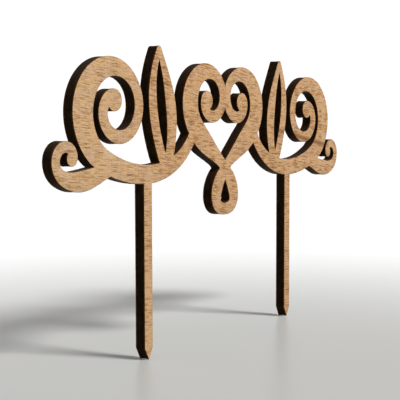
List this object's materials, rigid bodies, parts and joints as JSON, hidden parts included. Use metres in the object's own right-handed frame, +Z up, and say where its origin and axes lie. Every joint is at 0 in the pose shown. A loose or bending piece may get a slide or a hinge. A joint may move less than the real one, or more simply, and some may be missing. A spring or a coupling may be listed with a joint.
{
  "type": "cake topper",
  "caption": "Flat laser-cut cake topper of veneered board: a scrollwork heart with leaves and volutes, held up by pointed stakes that push into a cake.",
  "frame": {"origin": "midway between the two stake tips, in the middle of the board's thickness", "axes": "+Z up along the stakes; +X to the right for someone who looks at the front face; the front face looks along -Y"},
  "size_m": [0.1858, 0.004, 0.1074],
  "materials": {
    "front_veneer": "sanded bare beech veneer, edges darkened by the laser",
    "back_veneer": "sanded bare beech veneer, edges darkened by the laser",
    "fibre_core": "wood fibreboard, cut edge charred nearly black, satin",
    "glue": "hard wood glue line, darkened at the cut edge"
  },
  "bodies": {
    "root": {"front_face_veneer": "front_veneer", "front_glue_film": "glue", "core_board": "fibre_core", "back_glue_film": "glue", "back_face_veneer": "back_veneer"}
  },
  "joints": []
}
